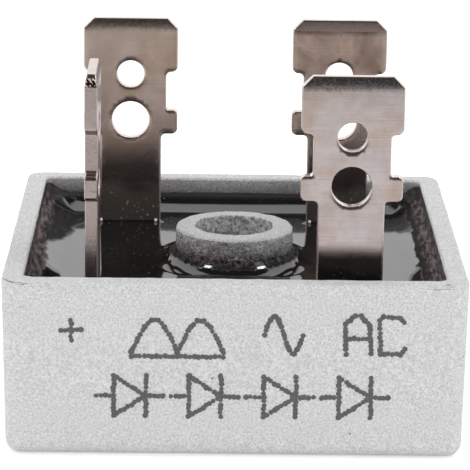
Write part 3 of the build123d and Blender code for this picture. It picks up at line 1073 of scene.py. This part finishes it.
def stage_floor():
    """A white table. Seen by the camera it is white, and in reflections it dims towards the front."""
    mesh = bpy.data.meshes.new("floor")
    far = 4.0
    mesh.from_pydata([(-far, -far, 0), (far, -far, 0), (far, far, 0), (-far, far, 0)], [], [(0, 1, 2, 3)])
    floor = link_object("floor", mesh)
    material = bpy.data.materials.new("floor_paper")
    material.use_nodes = True
    tree = material.node_tree
    tree.nodes.clear()
    new = tree.nodes.new
    output = new("ShaderNodeOutputMaterial")
    paper = new("ShaderNodeBsdfDiffuse")
    paper.inputs["Color"].default_value = (0.86, 0.86, 0.86, 1)
    glow = new("ShaderNodeEmission")
    glow.inputs["Strength"].default_value = 0.34
    shown = new("ShaderNodeAddShader")
    tree.links.new(paper.outputs[0], shown.inputs[0])
    tree.links.new(glow.outputs[0], shown.inputs[1])
    mirrored = new("ShaderNodeEmission")
    split = new("ShaderNodeSeparateXYZ")
    tree.links.new(new("ShaderNodeTexCoord").outputs["Object"], split.inputs[0])
    level = smooth_step(tree, split.outputs["Y"], -0.045, 0.0, 0.62, 0.95)
    tree.links.new(level, mirrored.inputs["Strength"])
    path = new("ShaderNodeLightPath")
    seen = pick_shader(tree, path.outputs["Is Camera Ray"], paper.outputs[0], shown.outputs[0])
    seen = pick_shader(tree, path.outputs["Is Glossy Ray"], seen, mirrored.outputs[0])
    tree.links.new(seen, output.inputs[0])
    mesh.materials.append(material)


def sky():
    """Even light for matt surfaces. Reflections see a white backdrop behind, and a dark ceiling and front."""
    world = bpy.data.worlds.new("studio")
    bpy.context.scene.world = world
    world.use_nodes = True
    tree = world.node_tree
    tree.nodes.clear()
    new = tree.nodes.new
    output = new("ShaderNodeOutputWorld")
    light = new("ShaderNodeBackground")
    white = new("ShaderNodeBackground")
    mirrored = new("ShaderNodeBackground")
    for background in (light, white, mirrored):
        background.inputs["Color"].default_value = (1, 1, 1, 1)
    split = new("ShaderNodeSeparateXYZ")
    tree.links.new(new("ShaderNodeTexCoord").outputs["Generated"], split.inputs[0])
    tree.links.new(smooth_step(tree, split.outputs["Z"], 0.0, 1.0, 1.5, 0.80), light.inputs["Strength"])
    behind = smooth_step(tree, split.outputs["Y"], -0.5, -0.2)
    below_ceiling = smooth_step(tree, split.outputs["Z"], *CEILING, 0.0, BACKDROP)
    level = arithmetic(tree, "ADD", arithmetic(tree, "MULTIPLY", behind, below_ceiling), GLOOM)
    tree.links.new(level, mirrored.inputs["Strength"])
    path = new("ShaderNodeLightPath")
    seen = pick_shader(tree, path.outputs["Is Glossy Ray"], light.outputs[0], mirrored.outputs[0])
    seen = pick_shader(tree, path.outputs["Is Camera Ray"], seen, white.outputs[0])
    tree.links.new(seen, output.inputs[0])


def softbox(name, place, size, power):
    lamp = bpy.data.lights.new(name, "AREA")
    lamp.shape = "SQUARE"
    lamp.size = size
    lamp.energy = power
    obj = link_object(name, lamp)
    obj.location = place
    obj.rotation_euler = (-Vector(place)).to_track_quat("-Z", "Y").to_euler()


# Camera, as worked out from the photograph: place, turns and focal length

CAMERA_PLACE = (-1.742, -183.926, 58.822)
CAMERA_YAW, CAMERA_PITCH, CAMERA_ROLL = (math.radians(a) for a in (0.560, -14.727, 0.791))
FOCAL_PIXELS = 2905.016
FRAME_PIXELS = 470
SENSOR = 36.0


def set_camera():
    forward = Vector((math.sin(CAMERA_YAW) * math.cos(CAMERA_PITCH),
                      math.cos(CAMERA_YAW) * math.cos(CAMERA_PITCH), math.sin(CAMERA_PITCH)))
    level = Vector((math.cos(CAMERA_YAW), -math.sin(CAMERA_YAW), 0))
    above = level.cross(forward)
    right = math.cos(CAMERA_ROLL) * level + math.sin(CAMERA_ROLL) * above
    up = -math.sin(CAMERA_ROLL) * level + math.cos(CAMERA_ROLL) * above
    data = bpy.data.cameras.new("camera")
    data.sensor_fit = "HORIZONTAL"
    data.sensor_width = SENSOR
    data.lens = FOCAL_PIXELS / FRAME_PIXELS * SENSOR
    data.clip_start = 0.01
    data.clip_end = 20
    camera = link_object("camera", data)
    turn = Matrix((right, up, -forward)).transposed()
    camera.matrix_world = Matrix.Translation(Vector(CAMERA_PLACE) * MM) @ turn.to_4x4()
    bpy.context.scene.camera = camera


set_camera()
stage_floor()
sky()
softbox("left_lamp", (-0.36, 0.01, 0.70), size=0.11, power=0.5)
softbox("right_lamp", (0.36, 0.01, 0.70), size=0.11, power=0.5)
bpy.context.scene.view_settings.view_transform = "Standard"
